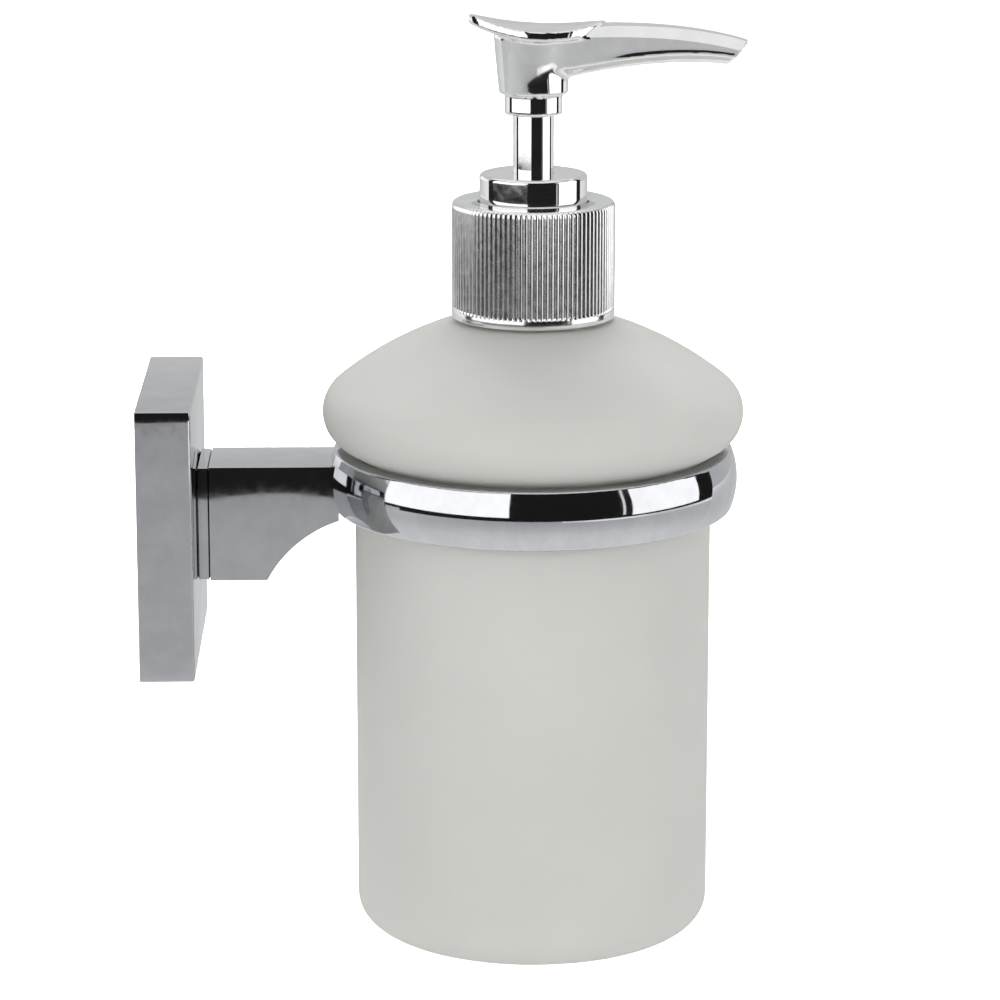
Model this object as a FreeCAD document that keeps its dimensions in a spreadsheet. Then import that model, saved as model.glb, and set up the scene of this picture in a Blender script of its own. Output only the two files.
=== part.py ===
import FreeCAD, Part
import math
import os
import Sketcher
from FreeCAD import Placement, Rotation, Vector

# Wall mounted soap dispenser, in millimetres.
# The origin is the centre of the wall plate's back face, on the wall.
# +Z is up, the wall is the plane y = 0 and everything stands out from it towards -Y.

doc = FreeCAD.newDocument("soap_dispenser")
sheet = doc.addObject("Spreadsheet::Sheet", "dims")

# ---------------------------------------------------------------------------
# Driving dimensions
# ---------------------------------------------------------------------------

DIMENSIONS = {
    # wall plate and what is behind it
    "plate_side": 50.0,
    "plate_depth": 10.0,
    "plate_wall": 2.0,
    "plate_round": 0.9,
    "bracket_width": 36.0,
    "bracket_thick": 5.0,
    "bracket_drop": 19.5,
    "wall_screw_spacing": 25.0,
    "wall_screw_hole": 2.25,
    "wall_screw_head": 4.5,
    "grub_radius": 2.0,
    "grub_length": 5.0,
    "grub_socket": 2.0,
    "grub_set_back": 0.1,
    "lug_height": 2.6,
    "lug_half_width": 4.0,
    "hang_gap": 0.05,
    # arm
    "boss_depth": 2.3,
    "boss_gap": 0.15,
    "arm_width": 17.0,
    "arm_top": 11.0,
    "arm_bottom": -10.4,
    "arm_flat": 10.5,
    "arm_curve": 22.9,
    "arm_tenon": 12.0,
    "tenon_gap": 0.05,
    "arm_screw_radius": 2.5,
    "arm_screw_reach": 14.0,
    "screw_head_radius": 4.25,
    "screw_head_height": 2.8,
    "screw_socket": 4.0,
    "screw_socket_depth": 1.8,
    "screw_clearance": 0.2,
    "screw_end_room": 1.0,
    "washer_radius": 5.0,
    "washer_thick": 0.9,
    "washer_clearance": 1.5,
    # ring that carries the bottle
    "reach": 72.0,
    "ring_inner": 33.6,
    "ring_outer": 37.9,
    "ring_edge": 36.8,
    "ring_bottom": 2.0,
    "ring_top": 12.9,
    "ring_round": 0.6,
    "ring_lip": 1.2,
    # bottle
    "bottle_radius": 33.0,
    "bottle_bottom": -78.5,
    "bottle_corner": 5.2,
    "bottle_wall": 2.5,
    "bottle_floor": 4.0,
    "bottle_inner_corner": 3.7,
    "bulge_ring": 32.1,
    "bulge_level": 19.9,
    "bulge_round": 6.8,
    "bulge_under_angle": 60.0,
    "shoulder_angle": 51.0,
    "shoulder_round": 65.0,
    "neck_radius": 12.3,
    "neck_bore": 10.3,
    "neck_top": 49.9,
    "thread_depth": 1.0,
    "thread_base": 2.0,
    "thread_crest": 0.6,
    "thread_pitch": 4.23,
    "thread_length": 6.3,
    "thread_start": 41.0,
    # screw closure
    "closure_radius": 15.0,
    "closure_inner": 14.4,
    "closure_bottom": 37.5,
    "closure_top": 59.0,
    "closure_rim": 1.7,
    "closure_round": 1.0,
    "closure_lid": 0.8,
    "flute_count": 96.0,
    "flute_depth": 0.35,
    "flute_share": 0.62,
    "cap_bore": 13.5,
    "cap_wall_gap": 0.05,
    "cap_recess": 0.4,
    "web_gap_below": 0.15,
    "web_gap_above": 0.2,
    "turning_gap": 0.3,
    # pump
    "flange_radius": 12.2,
    "flange_level": 51.2,
    "flange_thick": 1.6,
    "gasket_thick": 1.2,
    "housing_radius": 6.5,
    "housing_bore": 5.4,
    "housing_floor": 12.0,
    "housing_neck": 7.9,
    "housing_neck_top": 58.0,
    "housing_taper": 2.0,
    "tail_radius": 4.4,
    "tail_bottom": -4.0,
    "collar_radius": 9.9,
    "collar_bottom": 54.6,
    "collar_top": 64.0,
    "collar_round": 0.8,
    "slide_gap": 0.05,
    "dip_radius": 2.9,
    "dip_bore": 2.1,
    "dip_bottom": -72.0,
    "dip_slant": 25.0,
    "dip_socket": 8.0,
    "seat_bore": 1.5,
    "seat_wall": 0.4,
    "inlet_ball_radius": 2.2,
    "inlet_ball_room": 0.4,
    "inlet_lip": 0.2,
    "inlet_lip_height": 1.5,
    "ball_rest_gap": 0.07,
    "outlet_ball_radius": 1.9,
    "outlet_ball_room": 0.5,
    "outlet_chamber": 4.3,
    "spring_radius": 4.35,
    "spring_wire": 0.45,
    "spring_turns": 8.0,
    "spring_gap": 0.05,
    "rod_flange": 4.95,
    "rod_level": 42.0,
    "rod_thick": 1.4,
    "rod_pin_radius": 1.6,
    "rod_pin_length": 6.0,
    "rod_spigot": 2.0,
    "seal_bottom": 44.2,
    "seal_height": 6.4,
    "seal_lip_gap": 0.03,
    "seal_waist": 0.8,
    "seal_lip": 1.0,
    "stem_radius": 3.45,
    "stem_bore": 1.5,
    "stem_gap": 0.2,
    "stem_port": 0.8,
    "stem_port_rise": 3.0,
    "stop_gap": 0.6,
    "stop_depth": 1.1,
    "stop_height": 1.2,
    "stem_top": 82.0,
    "sleeve_radius": 3.73,
    "sleeve_bottom": 53.0,
    "sleeve_top": 77.0,
    # head
    "head_bottom": 74.8,
    "head_boss": 5.3,
    "barrel_bottom": 78.6,
    "barrel_foot": 6.3,
    "barrel_mouth": 7.3,
    "barrel_top": 89.6,
    "core_radius": 4.6,
    "core_top": 88.3,
    "spout_reach": 38.8,
    "spout_bore": 1.1,
    "spout_tube": 1.6,
    "spout_level": 86.4,
    "spout_bevel": 1.6,
    "spout_slant": 35.0,
    "spout_tip_back": 2.2,
    "pad_back": 11.9,
    "pad_front": 13.0,
    "pad_half_width": 7.6,
    "pad_level": 90.4,
    "pad_curve": 40.0,
    "pad_thick": 1.9,
    "pad_dish_shift": 2.0,
}

for row, (alias, value) in enumerate(DIMENSIONS.items(), start=1):
    sheet.set("A%d" % row, alias.replace("_", " "))
    sheet.set("B%d" % row, str(value))
    sheet.setAlias("B%d" % row, alias)
doc.recompute()


class Size:
    """A length with its value and the sheet expression that drives it."""

    def __init__(self, value, text):
        self.value = value
        self.text = text

    def joined(self, other, sign, value):
        return Size(value, "(%s %s %s)" % (self.text, sign, other.text))

    def __add__(self, other):
        other = size(other)
        return self.joined(other, "+", self.value + other.value)

    def __sub__(self, other):
        other = size(other)
        return self.joined(other, "-", self.value - other.value)

    def __mul__(self, other):
        other = size(other)
        return self.joined(other, "*", self.value * other.value)

    def __truediv__(self, other):
        other = size(other)
        return self.joined(other, "/", self.value / other.value)

    def __neg__(self):
        return Size(-self.value, "(0 - %s)" % self.text)

    def __radd__(self, other):
        return size(other) + self

    def __rsub__(self, other):
        return size(other) - self

    def __rmul__(self, other):
        return size(other) * self


def size(number):
    """Any number as a Size."""
    if isinstance(number, Size):
        return number
    return Size(float(number), "%.6g" % number)


def root(number):
    return Size(math.sqrt(number.value), "sqrt(%s)" % number.text)


def cosine(angle):
    return Size(math.cos(math.radians(angle.value)), "cos(%s * 1 deg)" % angle.text)


def sine(angle):
    return Size(math.sin(math.radians(angle.value)), "sin(%s * 1 deg)" % angle.text)


class Dims:
    """Every cell of the sheet as a Size, by its alias."""

    def __getattr__(self, alias):
        return Size(float(sheet.get(alias)), "dims." + alias)


d = Dims()
ZERO = size(0)
PAST = size(1)  # how far a cutting tool runs past the face that it enters or leaves
NEAR = 0.01     # how close an edge must lie to count as being at a place


# ---------------------------------------------------------------------------
# Helpers: sketches, bodies and primitives bound to the sheet
# ---------------------------------------------------------------------------

class Bend:
    """The edge from one corner to the next is an arc of this radius."""

    def __init__(self, radius, left=True):
        self.radius = radius
        self.left = left


def arc_between(start, end, bend):
    """Arc geometry from start to end that turns left or right on its way."""
    chord = end - start
    half = chord.Length / 2
    rise = math.sqrt(max(bend.radius.value ** 2 - half ** 2, 0.0))
    side = Vector(-chord.y, chord.x, 0).normalize()
    sign = 1 if bend.left else -1
    centre = (start + end) * 0.5 + side * (rise * sign)
    first, last = (start, end) if bend.left else (end, start)
    angle_1 = math.atan2(first.y - centre.y, first.x - centre.x)
    angle_2 = math.atan2(last.y - centre.y, last.x - centre.x)
    if angle_2 < angle_1:
        angle_2 += 2 * math.pi
    circle = Part.Circle(centre, Vector(0, 0, 1), bend.radius.value)
    return Part.ArcOfCircle(circle, angle_1, angle_2)


def pin(sketch, edge, end, axis, length, name):
    """Hold one coordinate of a corner at a length from the sketch's origin."""
    if abs(length.value) < 1e-9:
        sketch.addConstraint(Sketcher.Constraint("PointOnObject", edge, end, -2 if axis == "X" else -1))
        return
    kind = "Distance" + axis
    index = sketch.addConstraint(Sketcher.Constraint(kind, -1, 1, edge, end, length.value))
    sketch.renameConstraint(index, name)
    sketch.setExpression("Constraints." + name, length.text)


def sketch_on(body, name, plane, offset=None):
    """An empty sketch on one of the body's own origin planes."""
    sketch = body.newObject("Sketcher::SketchObject", name)
    support = [f for f in body.Origin.OriginFeatures if f.Role == plane][0]
    sketch.AttachmentSupport = [(support, "")]
    sketch.MapMode = "FlatFace"
    if offset is not None:
        sketch.setExpression("AttachmentOffset.Base.z", offset.text)
    return sketch


def outline(sketch, path):
    """Closed outline: corners as pairs of lengths, with a Bend before a corner that an arc leads to."""
    corners = []
    bends = {}
    for item in path:
        if isinstance(item, Bend):
            bends[len(corners) - 1] = item
        else:
            corners.append((size(item[0]), size(item[1])))
    count = len(corners)
    points = [Vector(x.value, y.value, 0) for x, y in corners]
    ends = []
    for i in range(count):
        start, end = points[i], points[(i + 1) % count]
        bend = bends.get(i)
        if bend is None:
            sketch.addGeometry(Part.LineSegment(start, end))
            ends.append((1, 2))
        else:
            sketch.addGeometry(arc_between(start, end, bend))
            ends.append((1, 2) if bend.left else (2, 1))
    for i in range(count):
        following = (i + 1) % count
        sketch.addConstraint(Sketcher.Constraint("Coincident", i, ends[i][1], following, ends[following][0]))
    for i, (x, y) in enumerate(corners):
        pin(sketch, i, ends[i][0], "X", x, "x%d" % i)
        pin(sketch, i, ends[i][0], "Y", y, "y%d" % i)
    for i, bend in bends.items():
        index = sketch.addConstraint(Sketcher.Constraint("Radius", i, bend.radius.value))
        sketch.renameConstraint(index, "bend%d" % i)
        sketch.setExpression("Constraints.bend%d" % i, bend.radius.text)
    return sketch


def on_axis(thing):
    """Move a piece that is drawn about x = y = 0 onto the bottle's axis."""
    thing.setExpression(".Placement.Base.y", (-d.reach).text)
    return thing


def turned(label, path):
    """A body turned about the bottle's axis from an outline of radius and height."""
    body = doc.addObject("PartDesign::Body", label)
    sketch = outline(sketch_on(body, label + "_outline", "XZ_Plane"), path)
    doc.recompute()
    turn = body.newObject("PartDesign::Revolution", label + "_turn")
    turn.Profile = sketch
    turn.ReferenceAxis = (sketch, ["V_Axis"])
    turn.Angle = 360
    doc.recompute()
    return on_axis(body)


def bind(thing, **lengths):
    for name, length in lengths.items():
        thing.setExpression(name, size(length).text)
    return thing


def put(thing, x, y, z, rotation=None):
    """Place a primitive, with its corner or its base centre at x, y, z."""
    if rotation is not None:
        thing.Placement = Placement(Vector(0, 0, 0), rotation)
    for letter, length in (("x", x), ("y", y), ("z", z)):
        thing.setExpression(".Placement.Base." + letter, size(length).text)
    return thing


def block(name, x, y, z):
    """A box from three (low, high) pairs."""
    thing = doc.addObject("Part::Box", name)
    spans = [size(high) - size(low) for low, high in (x, y, z)]
    bind(thing, Length=spans[0], Width=spans[1], Height=spans[2])
    return put(thing, x[0], y[0], z[0])


UPWARD = Rotation()
OUTWARD = Rotation(Vector(0, 0, 1), Vector(0, -1, 0))
SIDEWAYS = Rotation(Vector(0, 0, 1), Vector(1, 0, 0))


def rod(name, radius, length, x, y, z, rotation=UPWARD):
    """A cylinder whose base centre is at x, y, z."""
    thing = doc.addObject("Part::Cylinder", name)
    bind(thing, Radius=radius, Height=length)
    return put(thing, x, y, z, rotation)


def cone(name, radius_1, radius_2, length, x, y, z, rotation=UPWARD):
    thing = doc.addObject("Part::Cone", name)
    bind(thing, Radius1=radius_1, Radius2=radius_2, Height=length)
    return put(thing, x, y, z, rotation)


def fused(name, shapes):
    thing = doc.addObject("Part::MultiFuse", name)
    thing.Shapes = shapes
    doc.recompute()
    return thing


def common(name, shapes):
    thing = doc.addObject("Part::MultiCommon", name)
    thing.Shapes = shapes
    doc.recompute()
    return thing


def cut(name, base, tools):
    """The base without the tools."""
    tool = tools[0] if len(tools) == 1 else fused(name + "_tools", tools)
    thing = doc.addObject("Part::Cut", name)
    thing.Base = base
    thing.Tool = tool
    doc.recompute()
    return thing


def rounded(name, base, radius, chosen):
    """Round the edges of base that the test picks."""
    thing = doc.addObject("Part::Fillet", name)
    thing.Base = base
    edges = enumerate(base.Shape.Edges, start=1)
    thing.Edges = [(i, radius.value, radius.value) for i, edge in edges if chosen(edge)]
    doc.recompute()
    return thing


def round_body(body, radius, chosen):
    """Round the edges of a body's tip that the test picks."""
    tip = body.Tip
    names = ["Edge%d" % i for i, edge in enumerate(tip.Shape.Edges, start=1) if chosen(edge)]
    fillet = body.newObject("PartDesign::Fillet", body.Name + "_round")
    fillet.Base = (tip, names)
    fillet.setExpression("Radius", radius.text)
    doc.recompute()
    return body


def is_ring(edge, radius, level):
    """True for a circular edge about a vertical axis with this radius and height."""
    curve = edge.Curve
    return (isinstance(curve, Part.Circle) and abs(curve.Radius - radius.value) < NEAR
            and abs(curve.Center.z - level.value) < NEAR)


def named(thing, label):
    thing.Label = label
    return thing


parts = []


def keep(thing, label):
    parts.append(named(thing, label))
    return thing


# ---------------------------------------------------------------------------
# Wall plate, its bracket and screws
# ---------------------------------------------------------------------------

half_plate = d.plate_side / 2
cavity_half = half_plate - d.plate_wall
half_arm = d.arm_width / 2
boss_face = -(d.plate_depth + d.boss_depth)
arm_middle = (d.arm_top + d.arm_bottom) / 2
half_tenon = d.arm_tenon / 2
cover_front = -(d.plate_depth - d.plate_wall)
grub_depth = -(d.bracket_thick / 2)


def wall_cover():
    """Square hollow cover with a raised boss for the arm and a lug for the grub screw."""
    slab = block("cover_slab", (-half_plate, half_plate), (-d.plate_depth, ZERO), (-half_plate, half_plate))
    doc.recompute()
    front = -d.plate_depth.value
    shell = rounded("cover_rounded", slab, d.plate_round, lambda edge: edge.BoundBox.YMin < front + NEAR)
    inset = d.boss_gap
    boss = block("cover_boss", (-(half_arm - inset), half_arm - inset), (boss_face, cover_front),
                 (d.arm_bottom + inset, d.arm_top - inset))
    across = (-cavity_half, cavity_half)
    cavity = block("cover_cavity", across, (cover_front, PAST), across)
    lug_top = -cavity_half + d.lug_height
    inside_wall = d.plate_wall / 2
    lug = block("cover_lug", (-d.lug_half_width, d.lug_half_width), (cover_front - inside_wall, ZERO),
                (-cavity_half - inside_wall, lug_top))
    tenon_seat = block("cover_tenon_seat", (-half_tenon, half_tenon), (boss_face - PAST, -d.plate_depth),
                       (arm_middle - half_tenon, arm_middle + half_tenon))
    screw_hole = rod("cover_screw_hole", d.arm_screw_radius + d.screw_clearance, d.plate_depth * 2,
                     ZERO, ZERO, arm_middle, OUTWARD)
    grub_hole = rod("cover_grub_hole", d.grub_radius, d.plate_side / 4, ZERO, grub_depth, -half_plate - PAST)
    outside = fused("cover_outside", [shell, boss])
    hollow = cut("cover_hollow", outside, [cavity])
    with_lug = fused("cover_with_lug", [hollow, lug])
    return cut("cover_drilled", with_lug, [tenon_seat, screw_hole, grub_hole])


def mounting_plate():
    """Plate screwed to the wall; the cover hangs on its top edge."""
    half_width = d.bracket_width / 2
    slab = block("bracket_slab", (-half_width, half_width), (-d.bracket_thick, ZERO),
                 (-d.bracket_drop, cavity_half - d.hang_gap))
    through = d.bracket_thick + PAST * 2
    clearance = d.washer_radius + d.washer_clearance
    tools = [rod("bracket_clearance", clearance, through, ZERO, PAST, arm_middle, OUTWARD)]
    for side, name in ((-1, "left"), (1, "right")):
        x = d.wall_screw_spacing / 2 * side
        tools.append(rod("bracket_hole_" + name, d.wall_screw_hole, through, x, PAST, ZERO, OUTWARD))
        sink = d.wall_screw_head - d.wall_screw_hole
        tools.append(cone("bracket_sink_" + name, d.wall_screw_hole, d.wall_screw_head, sink,
                          x, -(d.bracket_thick - sink), ZERO, OUTWARD))
    return cut("bracket_drilled", slab, tools)


def hexagon_socket(name, across_flats, depth, x, y, z, rotation):
    thing = doc.addObject("Part::Prism", name)
    thing.Polygon = 6
    bind(thing, Circumradius=across_flats / math.sqrt(3), Height=depth)
    return put(thing, x, y, z, rotation)


def set_screw():
    foot = -d.bracket_drop - d.grub_set_back - d.grub_length
    shank = rod("grub_shank", d.grub_radius, d.grub_length, ZERO, grub_depth, foot)
    socket = hexagon_socket("grub_hexagon", d.grub_socket, d.grub_socket, ZERO, grub_depth, foot, UPWARD)
    return cut("grub_cut", shank, [socket])


def arm_washer():
    washer_back = cover_front + d.washer_thick
    disc = rod("washer_disc", d.washer_radius, d.washer_thick, ZERO, washer_back, arm_middle, OUTWARD)
    hole = rod("washer_hole", d.arm_screw_radius + d.screw_clearance, d.washer_thick + PAST * 2,
               ZERO, cover_front + d.washer_thick + PAST, arm_middle, OUTWARD)
    return cut("washer_cut", disc, [hole])


def arm_screw():
    under_head = cover_front + d.washer_thick
    head = rod("screw_head", d.screw_head_radius, d.screw_head_height, ZERO, under_head + d.screw_head_height,
               arm_middle, OUTWARD)
    length = d.arm_screw_reach + d.plate_wall + d.boss_depth
    shank = rod("screw_shank", d.arm_screw_radius, length, ZERO, under_head, arm_middle, OUTWARD)
    socket = hexagon_socket("screw_hexagon", d.screw_socket, d.screw_socket_depth,
                            ZERO, under_head + d.screw_head_height, arm_middle, OUTWARD)
    return cut("screw_cut", fused("screw_solid", [head, shank]), [socket])


keep(wall_cover(), "wall_cover")
keep(mounting_plate(), "mounting_plate")
keep(set_screw(), "set_screw")
keep(arm_washer(), "arm_washer")
keep(arm_screw(), "arm_screw")


# ---------------------------------------------------------------------------
# Arm and ring
# ---------------------------------------------------------------------------

def holder_ring():
    """Ring with a slightly crowned outside, which carries the bottle by its shoulder."""
    half_height = (d.ring_top - d.ring_bottom) / 2
    crown = d.ring_outer - d.ring_edge
    crown_radius = (half_height * half_height + crown * crown) / (crown * 2)
    body = turned("ring", [
        (d.ring_inner, d.ring_bottom),
        (d.ring_edge, d.ring_bottom),
        Bend(crown_radius),
        (d.ring_edge, d.ring_top),
        (d.ring_inner, d.ring_top),
    ])
    return round_body(body, d.ring_round, lambda edge: isinstance(edge.Curve, Part.Circle))


def arm(ring):
    """Arm with a flat top and a concave underside; its end is shaped to the ring."""
    body = doc.addObject("PartDesign::Body", "arm_body")
    flat_end = boss_face - d.arm_flat
    tip = -(d.reach - d.ring_edge + PAST)
    sketch = outline(sketch_on(body, "arm_side", "YZ_Plane"), [
        (boss_face, d.arm_top),
        (boss_face, d.arm_bottom),
        (flat_end, d.arm_bottom),
        Bend(d.arm_curve),
        (tip, d.ring_bottom - d.ring_lip),
        (tip, d.arm_top),
    ])
    doc.recompute()
    pad = body.newObject("PartDesign::Pad", "arm_pad")
    pad.Profile = sketch
    pad.SideType = "Symmetric"
    pad.setExpression("Length", d.arm_width.text)
    doc.recompute()
    half = half_tenon - d.tenon_gap
    tenon = block("arm_tenon_block", (-half, half), (boss_face, -(d.plate_depth + d.tenon_gap * 2)),
                  (arm_middle - half, arm_middle + half))
    under_head = cover_front + d.washer_thick
    length = d.arm_screw_reach + d.plate_wall + d.boss_depth + d.screw_end_room
    hole = rod("arm_screw_hole", d.arm_screw_radius, length, ZERO, under_head, arm_middle, OUTWARD)
    solid = fused("arm_with_tenon", [body, tenon])
    return cut("arm_cut", solid, [ring, hole])


ring_body = keep(holder_ring(), "holder_ring")
keep(arm(ring_body), "arm")


# ---------------------------------------------------------------------------
# Bottle
# ---------------------------------------------------------------------------

def shoulder(inset):
    """Bulge and shoulder of the bottle, moved in by the wall: the points and radii from below."""
    round_radius = d.bulge_round - inset
    under_x = d.bulge_ring + round_radius * cosine(d.bulge_under_angle)
    under_z = d.bulge_level - round_radius * sine(d.bulge_under_angle)
    over_x = d.bulge_ring + round_radius * cosine(d.shoulder_angle)
    over_z = d.bulge_level + round_radius * sine(d.shoulder_angle)
    wall_x = d.bottle_radius - inset
    wall_z = under_z - (under_x - wall_x) / sine(d.bulge_under_angle) * cosine(d.bulge_under_angle)
    dome = d.shoulder_round - inset
    centre_x = d.bulge_ring - (d.shoulder_round - d.bulge_round) * cosine(d.shoulder_angle)
    centre_z = d.bulge_level - (d.shoulder_round - d.bulge_round) * sine(d.shoulder_angle)
    neck_x = d.neck_radius if inset.value == 0 else d.neck_bore
    neck_z = centre_z + root(dome * dome - (neck_x - centre_x) * (neck_x - centre_x))
    return [
        (wall_x, wall_z),
        (under_x, under_z),
        Bend(round_radius),
        (over_x, over_z),
        Bend(dome),
        (neck_x, neck_z),
    ]


def backwards(path):
    """The same path the other way round."""
    return [Bend(item.radius, not item.left) if isinstance(item, Bend) else item for item in reversed(path)]


def bottle():
    inner_corner = d.bottle_inner_corner
    inner_radius = d.bottle_radius - d.bottle_wall
    inner_floor = d.bottle_bottom + d.bottle_floor
    outside = [
        (ZERO, d.bottle_bottom),
        (d.bottle_radius - d.bottle_corner, d.bottle_bottom),
        Bend(d.bottle_corner),
        (d.bottle_radius, d.bottle_bottom + d.bottle_corner),
    ] + shoulder(ZERO) + [(d.neck_radius, d.neck_top)]
    inside = [(d.neck_bore, d.neck_top)] + backwards(shoulder(d.bottle_wall)) + [
        (inner_radius, inner_floor + inner_corner),
        Bend(inner_corner, left=False),
        (inner_radius - inner_corner, inner_floor),
        (ZERO, inner_floor),
    ]
    return turned("bottle_glass", outside + inside)


def add_thread(body):
    """One ridge wound round the neck, with slanted flanks."""
    buried = 0.2
    root_radius = d.neck_radius - buried
    crest = d.neck_radius + d.thread_depth
    flank = (d.thread_base - d.thread_crest) / 2
    sketch = outline(sketch_on(body, "thread_section", "XZ_Plane"), [
        (root_radius, d.thread_start),
        (crest, d.thread_start + flank),
        (crest, d.thread_start + flank + d.thread_crest),
        (root_radius, d.thread_start + d.thread_base),
    ])
    doc.recompute()
    helix = body.newObject("PartDesign::AdditiveHelix", "thread_ridge")
    helix.Profile = sketch
    helix.ReferenceAxis = (sketch, ["V_Axis"])
    helix.Mode = "pitch-height-angle"
    helix.setExpression("Pitch", d.thread_pitch.text)
    helix.setExpression("Height", d.thread_length.text)
    doc.recompute()
    return body


keep(add_thread(bottle()), "bottle")


# ---------------------------------------------------------------------------
# Screw closure: fluted shell over a plastic cap
# ---------------------------------------------------------------------------

web_bottom = d.flange_level + d.flange_thick + d.web_gap_below
web_top = d.collar_bottom - d.web_gap_above
collar_hole = d.collar_radius + d.turning_gap
under_lid = d.closure_top - d.closure_lid


def closure_shell():
    bore = d.closure_inner + d.cap_wall_gap
    body = turned("closure_shell_body", [
        (bore, d.closure_bottom),
        (d.closure_radius, d.closure_bottom),
        (d.closure_radius, d.closure_top - d.closure_round),
        Bend(d.closure_round),
        (d.closure_radius - d.closure_round, d.closure_top),
        (collar_hole, d.closure_top),
        (collar_hole, under_lid),
        (bore, under_lid),
    ])
    valley = d.closure_radius - d.flute_depth
    outside = d.closure_radius + 0.1
    half_flute = d.closure_radius * math.pi / d.flute_count * d.flute_share
    sketch = outline(sketch_on(body, "flute_section", "XY_Plane", d.closure_bottom + d.closure_rim), [
        (valley, ZERO),
        (outside, -half_flute),
        (outside, half_flute),
    ])
    doc.recompute()
    flute = body.newObject("PartDesign::Pocket", "flute")
    flute.Profile = sketch
    flute.Reversed = True
    flute.setExpression("Length", (d.closure_top - d.closure_bottom - d.closure_rim + PAST).text)
    doc.recompute()
    pattern = body.newObject("PartDesign::PolarPattern", "flutes")
    pattern.Originals = [flute]
    pattern.Axis = (sketch, ["N_Axis"])
    pattern.Angle = 360
    pattern.setExpression("Occurrences", d.flute_count.text)
    body.Tip = pattern
    doc.recompute()
    return body


def closure_cap():
    """Inner cap with the web that holds the pump's flange down on the neck."""
    foot = d.closure_bottom + d.cap_recess
    neck_hole = d.housing_neck + d.turning_gap
    return turned("closure_cap_body", [
        (d.cap_bore, foot),
        (d.closure_inner, foot),
        (d.closure_inner, under_lid),
        (d.cap_bore, under_lid),
        (d.cap_bore, web_top),
        (neck_hole, web_top),
        (neck_hole, web_bottom),
        (d.cap_bore, web_bottom),
    ])


keep(closure_shell(), "closure_shell")
keep(closure_cap(), "closure_cap")


# ---------------------------------------------------------------------------
# Pump: housing, collar, gasket, dip tube, valves, spring
# ---------------------------------------------------------------------------

dip_socket_top = d.tail_bottom + d.dip_socket
seat_bottom = dip_socket_top + d.seat_wall
ball_chamber = d.inlet_ball_radius + d.inlet_ball_room
seat_rise = ball_chamber - d.seat_bore
lip_bore = d.inlet_ball_radius - d.inlet_lip
lip_bottom = d.housing_floor - d.inlet_lip_height


def pump_housing():
    """Pump cylinder: dip tube socket, conical ball seat, bore, flange and collar neck."""
    return turned("housing_body", [
        (d.dip_radius, d.tail_bottom),
        (d.tail_radius, d.tail_bottom),
        (d.tail_radius, d.housing_floor - d.housing_taper),
        (d.housing_radius, d.housing_floor),
        (d.housing_radius, d.flange_level),
        (d.flange_radius, d.flange_level),
        (d.flange_radius, d.flange_level + d.flange_thick),
        (d.housing_neck, d.flange_level + d.flange_thick),
        (d.housing_neck, d.housing_neck_top),
        (d.housing_bore, d.housing_neck_top),
        (d.housing_bore, d.housing_floor),
        (lip_bore, d.housing_floor),
        (lip_bore, lip_bottom),
        (ball_chamber, lip_bottom),
        (ball_chamber, seat_bottom + seat_rise),
        (d.seat_bore, seat_bottom),
        (d.seat_bore, dip_socket_top),
        (d.dip_radius, dip_socket_top),
    ])


def lock_collar():
    """Collar on the housing's neck, which guides the stem."""
    guide = d.sleeve_radius + d.slide_gap
    body = turned("collar_body", [
        (d.housing_neck, d.collar_bottom),
        (d.collar_radius, d.collar_bottom),
        (d.collar_radius, d.collar_top),
        (guide, d.collar_top),
        (guide, d.housing_neck_top),
        (d.housing_neck, d.housing_neck_top),
    ])
    return round_body(body, d.collar_round, lambda edge: is_ring(edge, d.collar_radius, d.collar_top))


def gasket():
    bore = d.housing_radius + d.slide_gap * 2
    return turned("gasket_body", [
        (bore, d.flange_level - d.gasket_thick),
        (d.flange_radius, d.flange_level - d.gasket_thick),
        (d.flange_radius, d.flange_level),
        (bore, d.flange_level),
    ])


def dip_tube():
    """Suction tube, cut off at a slant just above the bottle's floor."""
    length = dip_socket_top - d.dip_bottom
    tube = cut("dip_tube_bore", rod("dip_outer", d.dip_radius, length, ZERO, -d.reach, d.dip_bottom),
               [rod("dip_inner", d.dip_bore, length + PAST * 2, ZERO, -d.reach, d.dip_bottom - PAST)])
    # the knife is a block that leans about its lower corner, with its top just below the tube's longest side
    knife_length = size(20)
    knife_height = size(10)
    knife = doc.addObject("Part::Box", "dip_knife")
    bind(knife, Length=knife_length, Width=knife_length, Height=knife_height)
    put(knife, -knife_length / 2, -d.reach - knife_length / 2, d.dip_bottom - knife_height + 0.5,
        Rotation(Vector(0, 1, 0), d.dip_slant.value))
    return cut("dip_tube_cut", tube, [knife])


def ball(name, radius, centre):
    thing = doc.addObject("Part::Sphere", name)
    bind(thing, Radius=radius)
    return put(thing, ZERO, -d.reach, centre)


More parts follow.
